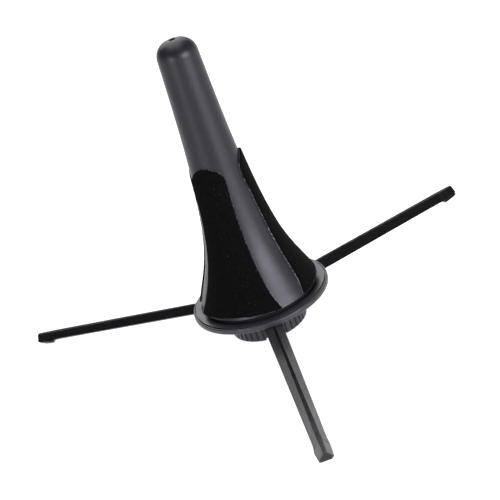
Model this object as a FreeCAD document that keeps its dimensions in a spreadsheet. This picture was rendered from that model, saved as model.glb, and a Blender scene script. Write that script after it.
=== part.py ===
"""Folding tripod peg stand for an oboe or a clarinet.

Millimetres, +Z up. The origin is on the stand's axis, on the surface it stands on.
The peg (a hollow flared cone on a round flange) screws on to a fluted hub, and three
legs hinge in the hub on steel pins. With the peg off, the legs fold up into a bundle
that fits inside the peg.
"""
import FreeCAD, Part
import math
import os
import re
import Sketcher
from FreeCAD import Placement, Rotation, Vector

LEG_NAMES = ("right", "left", "front")
LEG_COUNT = len(LEG_NAMES)
FIRST_LEG_AZIMUTH = 30.0
PAD_AZIMUTHS = {"front_right": -3.4, "rear": 121.6, "front_left": 236.6}
PAD_SWEEP = 120.0
THREAD_TURNS = 3
FULL_TURN = 360.0
THIRD_TURN = FULL_TURN / LEG_COUNT
LEAST_CUT = 1e-6

# Driving dimensions, in millimetres and degrees. Heights ending in _level are above the
# surface that the stand is on; the peg's own heights are above the flange's top face.
DIMENSIONS = {
    # flange
    "flange_radius": 34.0, "flange_level": 18.0, "rim_depth": 3.0, "plate_depth": 1.4,
    "rim_width": 1.8, "lip_width": 1.3, "lip_drop": 0.45, "rim_round": 0.6,
    "groove_width": 0.5, "groove_depth": 0.8,
    "seat_inner": 25.8, "seat_outer": 29.65, "seat_depth": 0.8,
    "spigot_outer": 25.1, "spigot_wall": 1.8, "spigot_rise": 3.6,
    "socket_radius": 15.9, "socket_wall": 3.0, "socket_rise": 12.0,
    # peg shell
    "foot_radius": 28.9, "foot_rise": 1.5, "foot_wall": 2.7, "foot_undercut": 1.0,
    "peg_wall": 1.7, "neck_radius": 9.75, "neck_rise": 125.8, "peg_rise": 133.6,
    "dome_radius": 7.8, "dome_wall": 2.4, "tip_hole_radius": 1.5,
    "flare_low_radius": 26.2, "flare_low_rise": 8.6,
    "flare_mid_radius": 18.9, "flare_mid_rise": 22.6,
    "flare_high_radius": 13.5, "flare_high_rise": 54.0,
    "taper_radius": 10.9, "taper_rise": 90.0,
    # felt pads
    "felt_depth": 1.5, "pad_low_rise": 1.9, "pad_low_arc": 193.0, "pad_top_rise": 73.8,
    "pad_arch_radius": 8.8, "pad_waist_half": 8.4, "pad_waist_rise": 42.0,
    "pad_knee_half": 11.4, "pad_knee_rise": 18.0, "pad_low_half": 21.5,
    # hub
    "hub_low_level": 0.7, "hub_top_level": 16.2, "hub_radius": 18.9, "hub_round": 0.8,
    "hub_dish_radius": 14.6, "hub_dish_depth": 0.7,
    "flute_radius": 0.55, "flute_inset": 0.2, "flute_pitch": 9.5, "flute_count": 10.0,
    "collar_bore_radius": 15.95, "slot_width": 9.6, "slot_inner": 8.2,
    "slot_floor_level": 7.7, "skirt_inner": 15.6,
    # threaded collar
    "collar_radius": 15.8, "thread_radius": 15.45, "thread_root": 14.95,
    "thread_bore": 12.6, "thread_top_level": 27.5, "thread_pitch": 3.0,
    "thread_width": 1.2, "thread_slant": 0.4, "thread_chamfer": 0.6,
    "thread_start_level": 17.9,
    # screws that join the collar to the hub
    "screw_radius": 1.25, "screw_head_radius": 2.5, "screw_head_depth": 1.4,
    "screw_circle": 10.6, "screw_top_level": 15.5, "screw_play": 0.05, "screw_relief": 0.2,
    "drive_length": 2.6, "drive_width": 0.6, "drive_depth": 0.8,
    # hinges
    "pivot_radius": 12.0, "pivot_level": 13.45, "pin_radius": 1.5, "pin_length": 13.6,
    "pin_play": 0.05, "seat_play": 0.02,
    # legs; lengths along the leg from the pivot, heights above the pivot's centre line
    "leg_slope": 5.45, "knuckle_radius": 3.2, "knuckle_width": 8.6, "crest_height": 3.28,
    "keel_round": 0.6,
    "root_station": 1.2, "root_crest": 0.9, "root_width": 9.0, "root_corner": 0.0,
    "root_base": 8.0, "root_low": -1.1,
    "shank_station": 109.4, "shank_crest": 2.2, "shank_width": 6.75, "shank_corner": 0.3,
    "shank_base": 5.9, "shank_low": -0.75,
    "brow_station": 112.7, "brow_crest": 2.2, "brow_width": 7.2, "brow_corner": -0.1,
    "brow_base": 6.4, "brow_low": -0.85,
    "heel_station": 113.4, "heel_crest": 2.15, "heel_width": 7.4, "heel_corner": -0.7,
    "heel_base": 6.9, "heel_low": -2.05,
    "toe_station": 121.0, "toe_crest": 1.65, "toe_width": 6.7, "toe_corner": 0.1,
    "toe_base": 5.7, "toe_low": -1.35,
    "tip_station": 122.2, "tip_crest": 1.6, "tip_width": 6.5, "tip_corner": 0.2,
    "tip_base": 5.2, "tip_low": -0.8,
    # rubber pads under the shoes
    "pad_width": 3.8, "pad_length": 6.2, "sole_centre": 128.7, "sole_depth": 1.3,
    "pad_play": 0.02,
    # how far a cut runs past the surface that it opens
    "overrun": 1.0,
}

doc = FreeCAD.newDocument("peg_stand")
sheet = doc.addObject("Spreadsheet::Sheet", "Sheet")
for row, (alias, size) in enumerate(DIMENSIONS.items(), start=1):
    sheet.set("A%d" % row, alias)
    sheet.set("B%d" % row, str(size))
    sheet.setAlias("B%d" % row, alias)
doc.recompute()


def cell(name):
    """The sheet's value under this alias."""
    return float(sheet.get(name))


def sized(text):
    """An expression whose words are the sheet's aliases, with the sheet's name put in."""
    words = re.split("([a-z_]+)", text)
    return "".join("Sheet." + word if word in DIMENSIONS else word for word in words)


def number(owner, text):
    """What an expression comes to, as a plain number."""
    found = owner.evalExpression(sized(text))
    return float(getattr(found, "Value", found))


# ---------------------------------------------------------------- sketch helpers

def new_body(label, placement=None):
    body = doc.addObject("PartDesign::Body", label)
    body.Label = label
    if placement:
        body.Placement = placement
    return body


def origin_plane(body, role):
    return next(item for item in body.Origin.OriginFeatures if item.Role == role)


def new_sketch(body, name, role, offset=None):
    """A sketch on one of the body's own planes, moved along its normal by an expression."""
    sketch = body.newObject("Sketcher::SketchObject", name)
    sketch.AttachmentSupport = [(origin_plane(body, role), "")]
    sketch.MapMode = "FlatFace"
    if offset:
        sketch.setExpression("AttachmentOffset.Base.z", sized(offset))
    doc.recompute()
    return sketch


def pin_point(sketch, geometry, position, x, y):
    """Hold a point of the sketch at x, y from the origin; each is an expression."""
    for kind, axis, text in (("DistanceX", -2, x), ("DistanceY", -1, y)):
        if text == "0":
            sketch.addConstraint(Sketcher.Constraint("PointOnObject", geometry, position, axis))
            continue
        held = Sketcher.Constraint(kind, -1, 1, geometry, position, number(sketch, text))
        index = sketch.addConstraint(held)
        sketch.setExpression("Constraints[%d]" % index, sized(text))


def arc_between(start, end, radius):
    """An arc from start to end; a positive radius turns anticlockwise, a negative one clockwise."""
    middle = (start + end) * 0.5
    chord = end - start
    across = Vector(-chord.y, chord.x, 0).normalize()
    rise = math.sqrt(max(radius ** 2 - chord.Length ** 2 / 4.0, 0.0))
    centre = middle + across * (rise if radius > 0 else -rise)
    angles = [math.atan2(point.y - centre.y, point.x - centre.x) for point in (start, end)]
    if radius < 0:
        angles.reverse()
    circle = Part.Circle(centre, Vector(0, 0, 1), abs(radius))
    return Part.ArcOfCircle(circle, angles[0], angles[1])


def add_outline(sketch, vertices):
    """A closed outline. Each vertex is (x, y), (x, y, radius) or (x, y, poles).

    The third item shapes the edge that arrives at the vertex: an arc of that radius, or
    a smooth curve drawn by the poles between the two ends. A radius that starts with a
    minus sign turns clockwise.
    """
    corners = [Vector(number(sketch, v[0]), number(sketch, v[1]), 0) for v in vertices]
    ends = []
    for here, vertex in enumerate(vertices):
        start, end = corners[here - 1], corners[here]
        shape = vertex[2] if len(vertex) > 2 else None
        if shape is None:
            edge = sketch.addGeometry(Part.LineSegment(start, end), False)
            ends.append((edge, 1, 2))
        elif isinstance(shape, str):
            clockwise = shape.startswith("-")
            size = shape.lstrip("-")
            radius = number(sketch, size) * (-1 if clockwise else 1)
            edge = sketch.addGeometry(arc_between(start, end, radius), False)
            index = sketch.addConstraint(Sketcher.Constraint("Radius", edge, abs(radius)))
            sketch.setExpression("Constraints[%d]" % index, sized(size))
            ends.append((edge, 2, 1) if clockwise else (edge, 1, 2))
        else:
            poles = [Vector(number(sketch, x), number(sketch, y), 0) for x, y in shape]
            curve = Part.BSplineCurve()
            curve.buildFromPoles([start] + poles + [end], False, 3)
            edge = sketch.addGeometry(curve, False)
            sketch.exposeInternalGeometry(edge)
            for place, (x, y) in enumerate(shape, start=2):
                pin_point(sketch, edge + place, 3, x, y)
            ends.append((edge, 1, 2))
    for here, vertex in enumerate(vertices):
        edge, _, last = ends[here]
        following, first, _ = ends[(here + 1) % len(ends)]
        sketch.addConstraint(Sketcher.Constraint("Coincident", edge, last, following, first))
        pin_point(sketch, edge, last, vertex[0], vertex[1])


def add_circle(sketch, x, y, radius):
    centre = Vector(number(sketch, x), number(sketch, y), 0)
    circle = Part.Circle(centre, Vector(0, 0, 1), number(sketch, radius))
    edge = sketch.addGeometry(circle, False)
    pin_point(sketch, edge, 3, x, y)
    index = sketch.addConstraint(Sketcher.Constraint("Radius", edge, number(sketch, radius)))
    sketch.setExpression("Constraints[%d]" % index, sized(radius))


def rectangle(x_low, x_high, y_low, y_high):
    return [(x_low, y_low), (x_high, y_low), (x_high, y_high), (x_low, y_high)]


# --------------------------------------------------------------- feature helpers

def revolve(body, name, vertices, kind="PartDesign::Revolution"):
    """Turn an outline in the XZ plane round the body's Z axis."""
    sketch = new_sketch(body, name + "_outline", "XZ_Plane")
    add_outline(sketch, vertices)
    feature = body.newObject(kind, name)
    feature.Profile = sketch
    feature.ReferenceAxis = (sketch, ["V_Axis"])
    feature.Angle = FULL_TURN
    doc.recompute()
    return feature


def extrude(body, name, sketch, length, kind="PartDesign::Pad", midplane=False, reverse=False):
    """A pad or a pocket of a sketch, by an expression. A pocket has to remove material."""
    before = body.Shape.Volume if body.Tip else 0.0
    feature = body.newObject(kind, name)
    feature.Profile = sketch
    feature.setExpression("Length", sized(length))
    if midplane:
        feature.SideType = "Symmetric"
    feature.Reversed = reverse
    doc.recompute()
    if kind.endswith("Pocket") and body.Shape.Volume >= before - LEAST_CUT:
        raise RuntimeError("%s cuts nothing" % name)
    return feature


def repeat_round(body, name, features, count):
    """Repeat features round the body's Z axis."""
    pattern = body.newObject("PartDesign::PolarPattern", name)
    pattern.Originals = features
    pattern.Axis = (origin_plane(body, "Z_Axis"), [""])
    pattern.Angle = FULL_TURN
    pattern.Occurrences = count
    body.Tip = pattern
    doc.recompute()
    return pattern


def about_axis(azimuth):
    return Placement(Vector(0, 0, 0), Rotation(Vector(0, 0, 1), azimuth))


# -------------------------------------------------------------------------- peg

def flare_poles(inset):
    """Poles of the peg's outline from the foot up to the neck, moved in by a wall."""
    names = ("flare_low", "flare_mid", "flare_high", "taper")
    return [(name + "_radius" + inset, "flange_level + " + name + "_rise") for name in names]


def build_peg_shell():
    """The hollow flared cone, with a domed tip and a small hole through the tip."""
    body = new_body("peg_shell")
    wall = " - peg_wall"
    revolve(body, "cone", [
        ("foot_radius - foot_wall", "flange_level - seat_depth"),
        ("foot_radius - foot_undercut", "flange_level - seat_depth"),
        ("foot_radius - foot_undercut", "flange_level + foot_rise - foot_undercut"),
        ("foot_radius", "flange_level + foot_rise"),
        ("neck_radius", "flange_level + neck_rise", flare_poles("")),
        ("neck_radius - dome_radius", "flange_level + peg_rise", "dome_radius"),
        ("tip_hole_radius", "flange_level + peg_rise"),
        ("tip_hole_radius", "flange_level + peg_rise - dome_wall"),
        ("neck_radius - dome_radius", "flange_level + peg_rise - dome_wall"),
        ("neck_radius - peg_wall", "flange_level + neck_rise"),
        ("foot_radius - foot_wall", "flange_level + foot_rise", flare_poles(wall)[::-1]),
    ])
    return body


def build_base_flange():
    """The round flange: a rim, a seat for the cone's foot and a socket for the thread."""
    body = new_body("base_flange")
    revolve(body, "disc", [
        ("socket_radius", "flange_level - plate_depth"),
        ("seat_inner - rim_width", "flange_level - plate_depth"),
        ("seat_inner - rim_width + seat_depth", "flange_level - plate_depth - seat_depth"),
        ("flange_radius - rim_width - seat_depth", "flange_level - plate_depth - seat_depth"),
        ("flange_radius - rim_width", "flange_level - rim_depth"),
        ("flange_radius - rim_round", "flange_level - rim_depth"),
        ("flange_radius", "flange_level - rim_depth + rim_round", "rim_round"),
        ("flange_radius", "flange_level - lip_drop - rim_round"),
        ("flange_radius - rim_round", "flange_level - lip_drop", "rim_round"),
        ("flange_radius - lip_width + groove_width", "flange_level - lip_drop"),
        ("flange_radius - lip_width + groove_width", "flange_level - lip_drop - groove_depth"),
        ("flange_radius - lip_width", "flange_level - lip_drop - groove_depth"),
        ("flange_radius - lip_width", "flange_level"),
        ("seat_outer", "flange_level"),
        ("seat_outer", "flange_level - seat_depth"),
        ("seat_inner", "flange_level - seat_depth"),
        ("seat_inner", "flange_level"),
        ("spigot_outer", "flange_level"),
        ("spigot_outer", "flange_level + spigot_rise"),
        ("spigot_outer - spigot_wall", "flange_level + spigot_rise"),
        ("spigot_outer - spigot_wall", "flange_level"),
        ("socket_radius + socket_wall", "flange_level"),
        ("socket_radius + socket_wall", "flange_level + socket_rise"),
        ("socket_radius", "flange_level + socket_rise"),
    ])
    return body


def build_felt_pad(name, azimuth):
    """A felt pad stuck to the cone: a curved sheet with an arched top and a wide foot."""
    body = new_body("felt_pad_" + name, about_axis(azimuth))
    ring = revolve(body, "felt", [
        ("foot_radius", "flange_level + foot_rise", flare_poles("")[::-1]),
        ("foot_radius + felt_depth", "flange_level + foot_rise"),
        ("neck_radius + felt_depth", "flange_level + neck_rise", flare_poles(" + felt_depth")),
        ("neck_radius", "flange_level + neck_rise"),
    ])
    ring.Angle = PAD_SWEEP
    ring.Midplane = True
    trim = new_sketch(body, "trim_outline", "YZ_Plane")
    add_outline(trim, rectangle("0 - flange_radius", "flange_radius", "0",
                                "flange_level + peg_rise"))
    arch_level = "flange_level + pad_top_rise - pad_arch_radius"
    side = [("pad_knee_half", "flange_level + pad_knee_rise"),
            ("pad_waist_half", "flange_level + pad_waist_rise")]
    add_outline(trim, [
        ("0 - pad_low_half", "flange_level + pad_low_rise",
         [("0 - " + half, level) for half, level in side[::-1]]),
        ("pad_low_half", "flange_level + pad_low_rise", "-pad_low_arc"),
        ("pad_arch_radius", arch_level, side),
        ("0", "flange_level + pad_top_rise", "pad_arch_radius"),
        ("0 - pad_arch_radius", arch_level, "pad_arch_radius"),
    ])
    extrude(body, "trim", trim, "flange_radius", "PartDesign::Pocket", reverse=True)
    return body


# -------------------------------------------------------------------------- hub

def cut_leg_slots(body, low_level, high_level):
    """A slot for one leg and a seat for its hinge pin; the caller repeats them."""
    slot = new_sketch(body, "slot_outline", "XY_Plane", high_level)
    outer = "hub_radius + overrun"
    add_outline(slot, rectangle("slot_inner", outer, "0 - slot_width / 2", "slot_width / 2"))
    depth = "%s - (%s)" % (high_level, low_level)
    cuts = [extrude(body, "slot", slot, depth, "PartDesign::Pocket")]
    seat = new_sketch(body, "pin_seat_outline", "XZ_Plane")
    add_circle(seat, "pivot_radius", "pivot_level", "pin_radius + seat_play")
    cuts.append(extrude(body, "pin_seat", seat, "pin_length + seat_play * 2",
                        "PartDesign::Pocket", midplane=True))
    return cuts


def build_hub_body():
    """The fluted hub: a dished underside, three leg slots and seats for three pins."""
    body = new_body("hub_body", about_axis(FIRST_LEG_AZIMUTH))
    revolve(body, "disc", [
        ("0", "hub_low_level + hub_dish_depth"),
        ("hub_dish_radius", "hub_low_level + hub_dish_depth"),
        ("hub_dish_radius", "hub_low_level"),
        ("hub_radius - hub_round", "hub_low_level"),
        ("hub_radius", "hub_low_level + hub_round", "hub_round"),
        ("hub_radius", "hub_top_level"),
        ("collar_bore_radius", "hub_top_level"),
        ("collar_bore_radius", "pivot_level"),
        ("0", "pivot_level"),
    ])
    flute = new_sketch(body, "flute_outline", "XY_Plane", "hub_top_level + overrun")
    for index in range(int(cell("flute_count"))):
        turn = "%.1f + flute_pitch * (%d - (flute_count - 1) / 2)" % (THIRD_TURN / 2, index)
        add_circle(flute, "(hub_radius - flute_inset) * cos(%s)" % turn,
                   "(hub_radius - flute_inset) * sin(%s)" % turn, "flute_radius")
    cuts = [extrude(body, "flutes", flute, "hub_top_level - hub_low_level + overrun * 2",
                    "PartDesign::Pocket")]
    cuts += cut_leg_slots(body, "slot_floor_level", "hub_top_level")
    gap = new_sketch(body, "gap_outline", "XY_Plane", "slot_floor_level + overrun")
    outer = "hub_radius + overrun"
    add_outline(gap, rectangle("skirt_inner", outer, "0 - slot_width / 2", "slot_width / 2"))
    cuts.append(extrude(body, "gap", gap, "slot_floor_level + overrun", "PartDesign::Pocket"))
    head = new_sketch(body, "head_outline", "XY_Plane",
                      "hub_low_level + hub_dish_depth + screw_head_depth")
    add_circle(head, "0 - screw_circle", "0", "screw_head_radius + screw_play")
    cuts.append(extrude(body, "head_bore", head, "screw_head_depth + overrun",
                        "PartDesign::Pocket"))
    shank = new_sketch(body, "shank_outline", "XY_Plane", "pivot_level + overrun")
    add_circle(shank, "0 - screw_circle", "0", "screw_radius + screw_play")
    cuts.append(extrude(body, "shank_bore", shank, "pivot_level + overrun",
                        "PartDesign::Pocket"))
    repeat_round(body, "cuts", cuts, LEG_COUNT)
    return body


def thread_outline():
    """The collar's outer side from the plate up: a root with grooves between the crests."""
    rising = []
    for turn in range(THREAD_TURNS):
        low = "thread_start_level + thread_pitch * %d" % turn
        rising += [("thread_radius", low), ("thread_root", low + " + thread_slant"),
                   ("thread_root", low + " + thread_width"),
                   ("thread_radius", low + " + thread_width + thread_slant")]
    return rising


def build_thread_collar():
    """The collar that clamps the pins on the hub and screws into the flange's socket."""
    body = new_body("thread_collar", about_axis(FIRST_LEG_AZIMUTH))
    revolve(body, "collar", [
        ("0", "pivot_level"),
        ("collar_radius", "pivot_level"),
        ("collar_radius", "hub_top_level"),
        ("thread_radius", "hub_top_level"),
    ] + thread_outline() + [
        ("thread_radius", "thread_top_level - thread_chamfer"),
        ("thread_radius - thread_chamfer", "thread_top_level"),
        ("thread_bore", "thread_top_level"),
        ("thread_bore", "hub_top_level"),
        ("0", "hub_top_level"),
    ])
    cuts = cut_leg_slots(body, "pivot_level - overrun", "thread_top_level + overrun")
    top = "screw_top_level + screw_relief"
    bore = new_sketch(body, "screw_outline", "XY_Plane", top)
    add_circle(bore, "0 - screw_circle", "0", "screw_radius + screw_play")
    cuts.append(extrude(body, "screw_bore", bore, top + " - pivot_level + overrun",
                        "PartDesign::Pocket"))
    repeat_round(body, "cuts", cuts, LEG_COUNT)
    return body


def primitive(kind, name, sizes, placement):
    """A Part primitive whose sizes are expressions."""
    item = doc.addObject("Part::" + kind, name)
    for size, text in sizes.items():
        item.setExpression(size, sized(text))
    item.Placement = placement
    return item


def build_collar_screws():
    """Three self-tapping screws, driven from below through the hub into the collar."""
    head_level = cell("hub_low_level") + cell("hub_dish_depth") + cell("seat_play")
    screws = []
    for index in range(LEG_COUNT):
        azimuth = FIRST_LEG_AZIMUTH + FULL_TURN / 2 + THIRD_TURN * index
        stand = about_axis(azimuth) * Placement(Vector(cell("screw_circle"), 0, head_level),
                                                Rotation())
        head = primitive("Cylinder", "screw_head_%d" % index, {
            "Radius": "screw_head_radius", "Height": "screw_head_depth - seat_play * 2"}, stand)
        shank = primitive("Cylinder", "screw_shank_%d" % index, {
            "Radius": "screw_radius",
            "Height": "screw_top_level - hub_low_level - hub_dish_depth"}, stand)
        whole = doc.addObject("Part::Fuse", "screw_blank_%d" % index)
        whole.Base, whole.Tool = head, shank
        blades = []
        for quarter in (0.0, 90.0):
            turned = stand * Placement(Vector(0, 0, 0), Rotation(Vector(0, 0, 1), quarter))
            middle = turned * Placement(Vector(-cell("drive_length") / 2,
                                               -cell("drive_width") / 2, 0), Rotation())
            blades.append(primitive("Box", "drive_%d_%d" % (index, quarter), {
                "Length": "drive_length", "Width": "drive_width",
                "Height": "drive_depth"}, middle))
        cross = doc.addObject("Part::Fuse", "drive_cross_%d" % index)
        cross.Base, cross.Tool = blades
        screw = doc.addObject("Part::Cut", "screw_%d" % index)
        screw.Base, screw.Tool = whole, cross
        screws.append(screw)
    group = doc.addObject("Part::Compound", "collar_screws")
    group.Label = "collar_screws"
    group.Links = screws
    return group


def build_hinge_pin(name, azimuth):
    """A steel pin across a leg's slot."""
    seat = Vector(cell("pivot_radius"), -cell("pin_length") / 2, cell("pivot_level"))
    lying = Placement(seat, Rotation(Vector(1, 0, 0), -90))
    pin = primitive("Cylinder", "hinge_pin_" + name,
                    {"Radius": "pin_radius", "Height": "pin_length"},
                    about_axis(azimuth) * lying)
    pin.Label = "hinge_pin_" + name
    return pin


# ------------------------------------------------------------------------- legs

def leg_placement(azimuth):
    """The leg's own frame: origin on its pivot, X out along the leg, sloping down."""
    pivot = Vector(cell("pivot_radius"), 0, cell("pivot_level"))
    sloping = Placement(pivot, Rotation(Vector(0, 1, 0), cell("leg_slope")))
    return about_axis(azimuth) * sloping


def leg_section(body, name):
    """A cross-section of the leg: a flat crest, two slanting flanks and a rounded keel."""
    sketch = new_sketch(body, name + "_section", "YZ_Plane", name + "_station")
    side = [(name + "_crest / 2", "crest_height"),
            (name + "_width / 2", name + "_corner"),
            (name + "_base / 2", name + "_low + keel_round"),
            (name + "_base / 2 - keel_round", name + "_low")]
    other_side = [("0 - " + across, height) for across, height in side[::-1]]
    add_outline(sketch, side + other_side)
    return sketch


def stadium(length, width, play="0"):
    """A rounded slot outline about the sketch's origin."""
    radius = "(%s / 2 + %s)" % (width, play)
    reach = "(%s - %s) / 2" % (length, width)
    minus = "0 - "
    return [(reach, minus + radius),
            (reach + " + " + radius, "0", radius),
            (reach, radius, radius),
            (minus + reach, radius),
            (minus + reach + " - " + radius, "0", radius),
            (minus + reach, minus + radius, radius)]


def build_leg(name, azimuth):
    """A leg with a round knuckle at its root and a flared shoe at its tip."""
    body = new_body("leg_" + name, leg_placement(azimuth))
    knuckle = new_sketch(body, "knuckle_outline", "XZ_Plane")
    add_circle(knuckle, "0", "0", "knuckle_radius")
    extrude(body, "knuckle", knuckle, "knuckle_width", midplane=True)
    sections = [leg_section(body, station) for station in
                ("root", "shank", "brow", "heel", "toe", "tip")]
    beam = body.newObject("PartDesign::AdditiveLoft", "beam")
    beam.Profile = sections[0]
    beam.Sections = sections[1:]
    beam.Ruled = True
    doc.recompute()
    bore = new_sketch(body, "bore_outline", "XZ_Plane")
    add_circle(bore, "0", "0", "pin_radius + pin_play")
    extrude(body, "bore", bore, "root_width + overrun", "PartDesign::Pocket", midplane=True)
    recess = new_sketch(body, "recess_outline", "XY_Plane")
    level = Placement(Vector(cell("sole_centre"), 0, cell("sole_depth")), Rotation())
    recess.AttachmentOffset = leg_placement(0).inverse() * level
    add_outline(recess, stadium("pad_length", "pad_width", "pad_play"))
    extrude(body, "recess", recess, "sole_depth + overrun", "PartDesign::Pocket")
    return body


def build_foot_pad(name, azimuth):
    """A rubber pad let into the underside of the shoe; it stands on the surface."""
    outward = Placement(Vector(cell("sole_centre"), 0, 0), Rotation())
    body = new_body("foot_pad_" + name, about_axis(azimuth) * outward)
    outline = new_sketch(body, "pad_outline", "XY_Plane")
    add_outline(outline, stadium("pad_length", "pad_width"))
    extrude(body, "pad", outline, "sole_depth")
    return body


# ----------------------------------------------------------------- whole object

def build_stand():
    nodes = [build_peg_shell(), build_base_flange()]
    nodes += [build_felt_pad(name, azimuth) for name, azimuth in PAD_AZIMUTHS.items()]
    nodes += [build_hub_body(), build_thread_collar(), build_collar_screws()]
    for index, name in enumerate(LEG_NAMES):
        azimuth = FIRST_LEG_AZIMUTH + THIRD_TURN * index
        nodes.append(build_hinge_pin(name, azimuth))
        nodes.append(build_leg(name, azimuth))
        nodes.append(build_foot_pad(name, azimuth))
    doc.recompute()
    return nodes


def check_and_write(nodes):
    failed = [item.Name for item in doc.Objects
              if "Invalid" in item.State or "Error" in item.State]
    if failed:
        raise RuntimeError("failed objects: " + ", ".join(failed))
    for node in nodes:
        if node.Shape.isNull() or not node.Shape.isValid() or not node.Shape.Solids:
            raise RuntimeError("bad shape: " + node.Label)
    os.makedirs("parts", exist_ok=True)
    for node in nodes:
        node.Shape.exportStep(os.path.join("parts", node.Label + ".step"))
        print("%-22s solids %d, volume %.1f mm3"
              % (node.Label, len(node.Shape.Solids), node.Shape.Volume))


check_and_write(build_stand())
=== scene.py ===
"""Looks for the folding peg stand: materials, felt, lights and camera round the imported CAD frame.

Metres, +Z up, the origin on the stand's axis at the surface it stands on.
"""
import math

import bmesh
import bpy
from mathutils import Matrix, Vector, noise
from mathutils.bvhtree import BVHTree


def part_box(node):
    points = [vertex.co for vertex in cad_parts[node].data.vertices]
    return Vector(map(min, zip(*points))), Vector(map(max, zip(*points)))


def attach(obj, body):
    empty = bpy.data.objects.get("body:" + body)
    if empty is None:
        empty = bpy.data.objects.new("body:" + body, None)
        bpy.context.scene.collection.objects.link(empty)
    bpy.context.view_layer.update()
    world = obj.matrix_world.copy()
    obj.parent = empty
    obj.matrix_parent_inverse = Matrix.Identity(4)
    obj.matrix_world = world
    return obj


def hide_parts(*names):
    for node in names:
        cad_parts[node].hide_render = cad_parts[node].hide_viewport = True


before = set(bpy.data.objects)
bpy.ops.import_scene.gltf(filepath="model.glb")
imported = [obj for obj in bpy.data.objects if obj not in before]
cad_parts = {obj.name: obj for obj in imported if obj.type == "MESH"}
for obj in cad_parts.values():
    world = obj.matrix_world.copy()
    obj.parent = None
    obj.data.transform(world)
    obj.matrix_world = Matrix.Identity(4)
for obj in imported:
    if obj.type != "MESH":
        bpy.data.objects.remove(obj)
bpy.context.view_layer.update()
MM = 0.001

# Sizes that the frame gives
FLANGE_LOW, FLANGE_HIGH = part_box("base_flange")
FLANGE_RADIUS = FLANGE_HIGH.x
RIM_DEPTH = 3.0 * MM
FLANGE_LEVEL = FLANGE_LOW.z + RIM_DEPTH
LEG_NAMES = ("right", "left", "front")
PAD_NAMES = ("front_right", "rear", "front_left")

# The point attribute that marks where a pale painted highlight is laid on the felt beside the
# shell, and the depth of that band
PAINTED_HIGHLIGHT_MARK = "painted_edge_highlight"
PAINTED_HIGHLIGHT_DEPTH = 0.35 * MM

# CAD points closer than this count as one
WELD_GAP = 0.002 * MM

# Edges that turn by more degrees than this are rounded; the legs' crests turn by less than most
EDGE_ANGLE = 30.0
CREST_ANGLE = 12.0
BEVEL_STEPS = 3

# The camera: where it stands round the flange's middle, and where it looks beside and above it
CAMERA_AZIMUTH = math.radians(-1.52)
CAMERA_ELEVATION = math.radians(26.49)
CAMERA_ROLL = math.radians(-19.15)
CAMERA_DISTANCE = 21.513 * FLANGE_RADIUS
CAMERA_LENS = 108.28
AIM_SIDE = 4.66 * MM
AIM_RISE = 20.04 * MM

# Half the floor's width
FLOOR_REACH = 6.0

# What the softboxes face: a point on the stand's axis
LOW_AIM = (0.0, 0.0, 0.08)
HIGH_AIM = (0.0, 0.0, 0.06)


# ------------------------------------------------------------------ materials

def node_material(name):
    material = bpy.data.materials.new(name)
    material.use_nodes = True
    tree = material.node_tree
    return material, tree.nodes, tree.links, tree.nodes["Principled BSDF"]


def add_noise(nodes, links, scale, detail, roughness, stretch=(1.0, 1.0, 1.0)):
    """A noise texture in the object's own coordinates; the scale is in lumps per metre."""
    place = nodes.new("ShaderNodeTexCoord")
    mapping = nodes.new("ShaderNodeMapping")
    mapping.inputs["Scale"].default_value = stretch
    texture = nodes.new("ShaderNodeTexNoise")
    texture.inputs["Scale"].default_value = scale
    texture.inputs["Detail"].default_value = detail
    texture.inputs["Roughness"].default_value = roughness
    links.new(place.outputs["Object"], mapping.inputs["Vector"])
    links.new(mapping.outputs["Vector"], texture.inputs["Vector"])
    return texture


def add_ramp(nodes, links, source, low, high, dark, light):
    """A two-stop colour ramp from a texture's value."""
    ramp = nodes.new("ShaderNodeValToRGB")
    ramp.color_ramp.elements[0].position = low
    ramp.color_ramp.elements[1].position = high
    ramp.color_ramp.elements[0].color = (*dark, 1.0)
    ramp.color_ramp.elements[1].color = (*light, 1.0)
    links.new(source, ramp.inputs["Fac"])
    return ramp


def add_range(nodes, links, source, low, high):
    span = nodes.new("ShaderNodeMapRange")
    span.inputs["To Min"].default_value = low
    span.inputs["To Max"].default_value = high
    links.new(source, span.inputs["Value"])
    return span


def add_mix(nodes, links, kind, first, second):
    mixed = nodes.new("ShaderNodeMix")
    mixed.data_type = "RGBA"
    mixed.blend_type = kind
    links.new(first, mixed.inputs["A"])
    links.new(second, mixed.inputs["B"])
    return mixed


def add_bumps(nodes, links, shader, layers):
    """Bumps stacked on each other; each layer is (texture output, height in metres, strength)."""
    normal = None
    for source, height, strength in layers:
        bump = nodes.new("ShaderNodeBump")
        bump.inputs["Distance"].default_value = height
        bump.inputs["Strength"].default_value = strength
        links.new(source, bump.inputs["Height"])
        if normal:
            links.new(normal, bump.inputs["Normal"])
        normal = bump.outputs["Normal"]
    links.new(normal, shader.inputs["Normal"])


def moulded_plastic(name, dark, light, rough, shine=0.5):
    """Satin black plastic: a spark-eroded grain, mottled gloss and faint flow clouds."""
    material, nodes, links, shader = node_material(name)
    clouds = add_noise(nodes, links, 520.0, 6.0, 0.7)
    grit = add_noise(nodes, links, 2600.0, 3.0, 0.6)
    patches = add_noise(nodes, links, 260.0, 5.0, 0.7)
    colour = add_ramp(nodes, links, clouds.outputs["Fac"], 0.32, 0.68, dark, light)
    links.new(colour.outputs["Color"], shader.inputs["Base Color"])
    gloss = add_range(nodes, links, patches.outputs["Fac"], rough - 0.10, rough + 0.10)
    links.new(gloss.outputs["Result"], shader.inputs["Roughness"])
    shader.inputs["Specular IOR Level"].default_value = shine
    shader.inputs["Specular Tint"].default_value = (0.88, 0.87, 1.0, 1.0)
    add_bumps(nodes, links, shader, [(patches.outputs["Fac"], 0.00022, 0.16),
                                     (clouds.outputs["Fac"], 0.00012, 0.22),
                                     (grit.outputs["Fac"], 0.00003, 0.6)])
    return material


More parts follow.
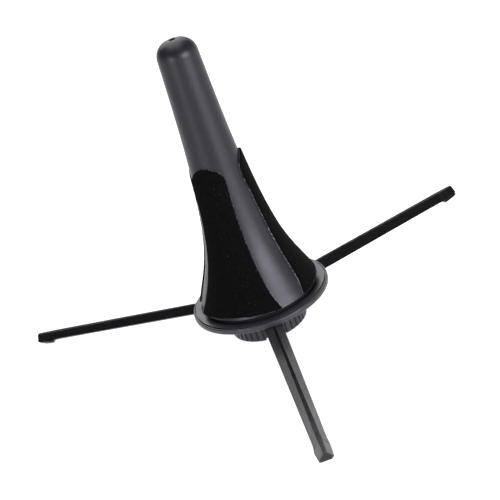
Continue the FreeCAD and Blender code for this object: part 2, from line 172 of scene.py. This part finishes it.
def black_felt(name):
    """Dense short-pile felt: matted fibres in two directions, a dull nap, pale specks that are part
    lint and part painted sheen, and a pale painted highlight where it meets the shell.
    """
    material, nodes, links, shader = node_material(name)
    along = add_noise(nodes, links, 1100.0, 5.0, 0.75, (1.0, 1.0, 0.3))
    across = add_noise(nodes, links, 1100.0, 5.0, 0.75, (0.35, 0.35, 1.0))
    lumps = add_noise(nodes, links, 170.0, 3.0, 0.6)
    specks = add_noise(nodes, links, 1500.0, 1.0, 0.5)
    pile = add_ramp(nodes, links, along.outputs["Fac"], 0.35, 0.75,
                    (0.0010, 0.0010, 0.0012), (0.0032, 0.0032, 0.0036))
    # Pale specks in the base colour: part lint, part painted sheen of fibres catching the light
    lint_and_sheen_specks = add_ramp(nodes, links, specks.outputs["Fac"], 0.74, 0.80,
                    (0.0, 0.0, 0.0), (0.045, 0.045, 0.050))
    colour = add_mix(nodes, links, "ADD", pile.outputs["Color"], lint_and_sheen_specks.outputs["Color"])
    colour.inputs["Factor"].default_value = 1.0
    # A pale grey painted highlight on the felt where it touches the shell, standing in for the
    # bright line along the felt's lower edge
    highlight_tone = add_ramp(nodes, links, lumps.outputs["Fac"], 0.35, 0.60,
                    (0.05, 0.05, 0.053), (0.30, 0.30, 0.31))
    # The mask that lays the painted highlight on the felt near the shell
    edge = nodes.new("ShaderNodeAttribute")
    edge.attribute_name = PAINTED_HIGHLIGHT_MARK
    felt_with_highlight = add_mix(nodes, links, "MIX", colour.outputs["Result"], highlight_tone.outputs["Color"])
    links.new(edge.outputs["Fac"], felt_with_highlight.inputs["Factor"])
    links.new(felt_with_highlight.outputs["Result"], shader.inputs["Base Color"])
    gloss = add_range(nodes, links, lumps.outputs["Fac"], 0.88, 1.0)
    links.new(gloss.outputs["Result"], shader.inputs["Roughness"])
    shader.inputs["Specular IOR Level"].default_value = 0.04
    shader.inputs["Sheen Weight"].default_value = 0.012
    shader.inputs["Sheen Roughness"].default_value = 0.45
    shader.inputs["Sheen Tint"].default_value = (0.6, 0.6, 0.65, 1.0)
    add_bumps(nodes, links, shader, [(lumps.outputs["Fac"], 0.0004, 0.5),
                                     (along.outputs["Fac"], 0.0003, 0.7),
                                     (across.outputs["Fac"], 0.0003, 0.7)])
    return material


def drawn_steel(name, colour, rough):
    """Drawn or turned steel, with fine marks round it and slight staining."""
    material, nodes, links, shader = node_material(name)
    stain = add_noise(nodes, links, 350.0, 4.0, 0.6)
    marks = add_noise(nodes, links, 3000.0, 2.0, 0.5, (1.0, 1.0, 0.08))
    dark = tuple(channel * 0.75 for channel in colour)
    tone = add_ramp(nodes, links, stain.outputs["Fac"], 0.3, 0.7, dark, colour)
    links.new(tone.outputs["Color"], shader.inputs["Base Color"])
    gloss = add_range(nodes, links, marks.outputs["Fac"], rough - 0.08, rough + 0.1)
    links.new(gloss.outputs["Result"], shader.inputs["Roughness"])
    shader.inputs["Metallic"].default_value = 1.0
    add_bumps(nodes, links, shader, [(marks.outputs["Fac"], 0.00002, 0.5)])
    return material


def soft_rubber(name):
    """Matt black rubber with a dusting and a fine skin."""
    material, nodes, links, shader = node_material(name)
    dust = add_noise(nodes, links, 500.0, 5.0, 0.7)
    skin = add_noise(nodes, links, 1800.0, 3.0, 0.6)
    colour = add_ramp(nodes, links, dust.outputs["Fac"], 0.4, 0.8,
                      (0.010, 0.010, 0.010), (0.022, 0.021, 0.020))
    links.new(colour.outputs["Color"], shader.inputs["Base Color"])
    gloss = add_range(nodes, links, dust.outputs["Fac"], 0.65, 0.85)
    links.new(gloss.outputs["Result"], shader.inputs["Roughness"])
    shader.inputs["Specular IOR Level"].default_value = 0.35
    add_bumps(nodes, links, shader, [(skin.outputs["Fac"], 0.00005, 0.6)])
    return material


PEG_PLASTIC = moulded_plastic(
    "peg_plastic", (0.006, 0.006, 0.008), (0.010, 0.010, 0.013), 0.38, 0.29)
FLANGE_PLASTIC = moulded_plastic(
    "flange_plastic", (0.010, 0.010, 0.013), (0.020, 0.020, 0.024), 0.32)
HUB_PLASTIC = moulded_plastic(
    "hub_plastic", (0.006, 0.006, 0.007), (0.012, 0.012, 0.014), 0.30)
LEG_PLASTIC = moulded_plastic(
    "leg_plastic", (0.0030, 0.0030, 0.0036), (0.0060, 0.0060, 0.0070), 0.20)
FELT = black_felt("felt")
PIN_STEEL = drawn_steel("pin_steel", (0.56, 0.56, 0.58), 0.28)
SCREW_STEEL = drawn_steel("screw_steel", (0.16, 0.16, 0.17), 0.38)
RUBBER = soft_rubber("foot_rubber")


# --------------------------------------------------------------- mesh helpers

def finish_edges(piece, width, angle):
    """Round the sharp edges of a CAD node or a new piece with modifiers only."""
    weld = piece.modifiers.new("weld", "WELD")
    weld.merge_threshold = WELD_GAP
    bevel = piece.modifiers.new("edges", "BEVEL")
    bevel.width = width
    bevel.segments = BEVEL_STEPS
    bevel.limit_method = "ANGLE"
    bevel.angle_limit = math.radians(angle)
    bevel.harden_normals = True
    weighted = piece.modifiers.new("normals", "WEIGHTED_NORMAL")
    weighted.keep_sharp = True


def dress(node, material, width, angle=EDGE_ANGLE):
    """Give a CAD node its material and softened edges."""
    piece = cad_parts[node]
    if not piece.data.materials:
        piece.data.materials.append(None)
    for place in range(len(piece.material_slots)):
        piece.material_slots[place].link = "OBJECT"
        piece.material_slots[place].material = material
    finish_edges(piece, width, angle)


dress("peg_shell", PEG_PLASTIC, 0.00015)
dress("base_flange", FLANGE_PLASTIC, 0.00022)
dress("hub_body", HUB_PLASTIC, 0.00012)
dress("thread_collar", HUB_PLASTIC, 0.00015)
dress("collar_screws", SCREW_STEEL, 0.00012)
for leg_name in LEG_NAMES:
    dress("hinge_pin_" + leg_name, PIN_STEEL, 0.0002)
    dress("leg_" + leg_name, LEG_PLASTIC, 0.00042, CREST_ANGLE)
    dress("foot_pad_" + leg_name, RUBBER, 0.0002)


# ------------------------------------------------------------------ felt pads

# The felt's remesh voxel, and the grain size and lift of its coarse and fine unevenness
FELT_VOXEL = 0.42 * MM
COARSE_GRAIN, COARSE_LIFT = 3.5 * MM, 0.06 * MM
FINE_GRAIN, FINE_LIFT = 0.9 * MM, 0.05 * MM

SHELL_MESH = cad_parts["peg_shell"].data
SHELL_TREE = BVHTree.FromPolygons([vertex.co for vertex in SHELL_MESH.vertices],
                                  [face.vertices for face in SHELL_MESH.polygons])


def mark_painted_highlight(mesh):
    """Mark the points that lie near the shell, where a pale painted highlight is laid on the felt.
    """
    layer = mesh.attributes.new(PAINTED_HIGHLIGHT_MARK, "FLOAT", "POINT")
    for vertex, mark in zip(mesh.vertices, layer.data):
        reach = SHELL_TREE.find_nearest(vertex.co)[3]
        mark.value = 1.0 if reach < PAINTED_HIGHLIGHT_DEPTH else 0.0


def build_felt(pad_name, seed):
    """A soft felt sheet in the place of the CAD pad: rounded cut edges and an uneven nap."""
    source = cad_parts["felt_pad_" + pad_name]
    mesh = bpy.data.meshes.new("felt_sheet_" + pad_name)
    grown = bmesh.new()
    grown.from_mesh(source.data)
    bmesh.ops.remove_doubles(grown, verts=grown.verts, dist=WELD_GAP)
    grown.to_mesh(mesh)
    grown.free()
    felt = bpy.data.objects.new("felt_sheet_" + pad_name, mesh)
    bpy.context.scene.collection.objects.link(felt)
    even = felt.modifiers.new("even", "REMESH")
    even.mode = "VOXEL"
    even.voxel_size = FELT_VOXEL
    even.use_smooth_shade = True
    relax = felt.modifiers.new("relax", "SMOOTH")
    relax.factor = 0.5
    relax.iterations = 3
    bpy.context.view_layer.update()
    shaped = bpy.data.meshes.new_from_object(
        felt.evaluated_get(bpy.context.evaluated_depsgraph_get()))
    felt.modifiers.clear()
    felt.data = shaped
    mark_painted_highlight(shaped)
    shift = Vector((seed * 3.7, 0.0, 0.0))
    for vertex, normal in zip(shaped.vertices, [v.normal.copy() for v in shaped.vertices]):
        coarse = noise.noise(vertex.co / COARSE_GRAIN + shift)
        fine = noise.noise(vertex.co / FINE_GRAIN + shift)
        vertex.co += normal * (coarse * COARSE_LIFT + fine * FINE_LIFT - COARSE_LIFT)
    shaped.materials.clear()
    shaped.materials.append(FELT)
    for face in shaped.polygons:
        face.use_smooth = True
        face.material_index = 0
    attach(felt, "peg")
    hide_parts("felt_pad_" + pad_name)


for pad_index, pad_name in enumerate(PAD_NAMES):
    build_felt(pad_name, pad_index)


# ------------------------------------------------------- floor, light, camera

def build_floor():
    """A white table top that glows like a light table, so that it shows almost no shadow."""
    material, nodes, links, shader = node_material("pale_floor")
    tone = add_noise(nodes, links, 6.0, 3.0, 0.5)
    colour = add_ramp(nodes, links, tone.outputs["Fac"], 0.3, 0.7,
                      (0.29, 0.29, 0.292), (0.31, 0.31, 0.312))
    links.new(colour.outputs["Color"], shader.inputs["Base Color"])
    shader.inputs["Roughness"].default_value = 0.6
    shader.inputs["Emission Color"].default_value = (1.0, 1.0, 1.0, 1.0)
    shader.inputs["Emission Strength"].default_value = 0.90
    mesh = bpy.data.meshes.new("floor")
    corners = [(side * FLOOR_REACH, end * FLOOR_REACH, 0.0)
               for side, end in ((-1, -1), (1, -1), (1, 1), (-1, 1))]
    mesh.from_pydata(corners, [], [(0, 1, 2, 3)])
    mesh.materials.append(material)
    floor = bpy.data.objects.new("floor", mesh)
    bpy.context.scene.collection.objects.link(floor)


def add_softbox(name, place, size, power, aim=HIGH_AIM):
    """A rectangular studio light that faces a point."""
    light = bpy.data.lights.new(name, "AREA")
    light.shape = "RECTANGLE"
    light.size, light.size_y = size
    light.energy = power
    lamp = bpy.data.objects.new(name, light)
    bpy.context.scene.collection.objects.link(lamp)
    lamp.location = place
    toward = Vector(aim) - Vector(place)
    lamp.rotation_mode = "QUATERNION"
    lamp.rotation_quaternion = toward.to_track_quat("-Z", "Y")
    lamp.visible_camera = False


def build_world():
    """A studio that is bright round the horizon and dim overhead."""
    world = bpy.data.worlds.new("studio")
    world.use_nodes = True
    nodes, links = world.node_tree.nodes, world.node_tree.links
    place = nodes.new("ShaderNodeTexCoord")
    parts = nodes.new("ShaderNodeSeparateXYZ")
    links.new(place.outputs["Generated"], parts.inputs["Vector"])
    ramp = nodes.new("ShaderNodeValToRGB")
    links.new(parts.outputs["Z"], ramp.inputs["Fac"])
    stops = ((0.0, 1.1), (0.10, 1.0), (0.22, 0.20), (0.34, 0.06), (1.0, 0.06))
    while len(ramp.color_ramp.elements) < len(stops):
        ramp.color_ramp.elements.new(0.5)
    for stop, (height, level) in zip(ramp.color_ramp.elements, stops):
        stop.position = height
        stop.color = (level, level, level, 1.0)
    links.new(ramp.outputs["Color"], nodes["Background"].inputs["Color"])
    bpy.context.scene.world = world


def build_lights():
    build_world()
    add_softbox("top", (0.0, 0.55, 2.2), (2.0, 2.5), 56.0)
    add_softbox("left_strip", (-0.74, -0.80, 0.26), (0.40, 0.50), 5.6, LOW_AIM)
    add_softbox("right_strip", (0.66, -0.86, 0.28), (0.70, 0.50), 16.0, LOW_AIM)
    add_softbox("back_card", (0.0, 1.6, 1.08), (2.2, 0.54), 14.0)
    add_softbox("rear_strip", (0.0, 1.4, 0.24), (0.22, 0.30), 1.2, LOW_AIM)


def build_camera():
    """A long lens from in front and above, rolled so that the stand leans to the left."""
    data = bpy.data.cameras.new("camera")
    data.sensor_width = 36.0
    data.lens = CAMERA_LENS
    data.clip_start, data.clip_end = 0.01, 50.0
    camera = bpy.data.objects.new("camera", data)
    bpy.context.scene.collection.objects.link(camera)
    hub = Vector((0.0, 0.0, FLANGE_LEVEL))
    level = math.cos(CAMERA_ELEVATION)
    back = Vector((math.sin(CAMERA_AZIMUTH) * level, -math.cos(CAMERA_AZIMUTH) * level,
                   math.sin(CAMERA_ELEVATION)))
    right = Vector((0.0, 0.0, 1.0)).cross(back).normalized()
    upward = back.cross(right)
    rolled_right = right * math.cos(CAMERA_ROLL) + upward * math.sin(CAMERA_ROLL)
    rolled_up = upward * math.cos(CAMERA_ROLL) - right * math.sin(CAMERA_ROLL)
    aim = hub - rolled_right * AIM_SIDE + rolled_up * AIM_RISE
    camera.location = hub + back * CAMERA_DISTANCE
    facing = (camera.location - aim).normalized()
    side = rolled_up.cross(facing).normalized()
    over = facing.cross(side)
    turn = Matrix((side, over, facing)).transposed()
    camera.rotation_mode = "QUATERNION"
    camera.rotation_quaternion = turn.to_quaternion()
    bpy.context.scene.camera = camera


build_floor()
build_lights()
build_camera()
bpy.context.scene.view_settings.view_transform = "Standard"
